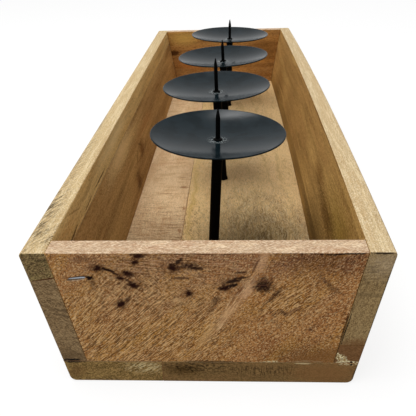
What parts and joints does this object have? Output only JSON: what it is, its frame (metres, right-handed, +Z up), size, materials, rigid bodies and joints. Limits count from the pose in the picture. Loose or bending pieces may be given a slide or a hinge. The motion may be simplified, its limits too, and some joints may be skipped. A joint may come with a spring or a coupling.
{
  "type": "candle tray",
  "caption": "Long wooden trough with leaning sides and a row of black pricket dishes on posts, to carry pillar candles above a floor for decoration.",
  "frame": {"origin": "middle of the tray's underside, which is the bottom centre of its box", "axes": "+Y along the row of holders from the front panel to the back one, +Z up along the posts, +X to the right as seen from the front"},
  "size_m": [0.2028, 0.612, 0.1358],
  "materials": {
    "side_wood": "olive brown mango wood, sanded and oiled, satin",
    "strip_wood": "darker mango heartwood, sanded and oiled, satin",
    "panel_wood": "warm figured mango wood with dark knots, sanded, satin",
    "base_wood": "pale mango wood with dark flecks, sanded, satin",
    "black_metal": "satin black powder coat on steel",
    "brad_steel": "bright drawn wire",
    "screw_steel": "zinc plated, dull"
  },
  "bodies": {
    "root": {"base_narrow_board": "base_wood", "base_wide_board": "base_wood", "left_side_board": "side_wood", "right_side_board": "side_wood", "left_side_top_strip": "strip_wood", "right_side_low_strip": "strip_wood", "front_panel": "panel_wood", "back_panel": "panel_wood", "front_left_brad_1": "brad_steel", "front_left_brad_2": "brad_steel", "front_left_brad_3": "brad_steel", "front_right_brad_1": "brad_steel", "front_right_brad_2": "brad_steel", "front_right_brad_3": "brad_steel", "back_left_brad_1": "brad_steel", "back_left_brad_2": "brad_steel", "back_left_brad_3": "brad_steel", "back_right_brad_1": "brad_steel", "back_right_brad_2": "brad_steel", "back_right_brad_3": "brad_steel", "left_foot_brad_1": "brad_steel", "left_foot_brad_2": "brad_steel", "left_foot_brad_3": "brad_steel", "left_foot_brad_4": "brad_steel", "right_foot_brad_1": "brad_steel", "right_foot_brad_2": "brad_steel", "right_foot_brad_3": "brad_steel", "right_foot_brad_4": "brad_steel", "front_foot_brad_1": "brad_steel", "front_foot_brad_2": "brad_steel", "back_foot_brad_1": "brad_steel", "back_foot_brad_2": "brad_steel", "holder_1_post": "black_metal", "holder_1_dish": "black_metal", "holder_1_spike": "black_metal", "holder_1_screw": "screw_steel", "holder_2_post": "black_metal", "holder_2_dish": "black_metal", "holder_2_spike": "black_metal", "holder_2_screw": "screw_steel", "holder_3_post": "black_metal", "holder_3_dish": "black_metal", "holder_3_spike": "black_metal", "holder_3_screw": "screw_steel", "holder_4_post": "black_metal", "holder_4_dish": "black_metal", "holder_4_spike": "black_metal", "holder_4_screw": "screw_steel"}
  },
  "joints": []
}
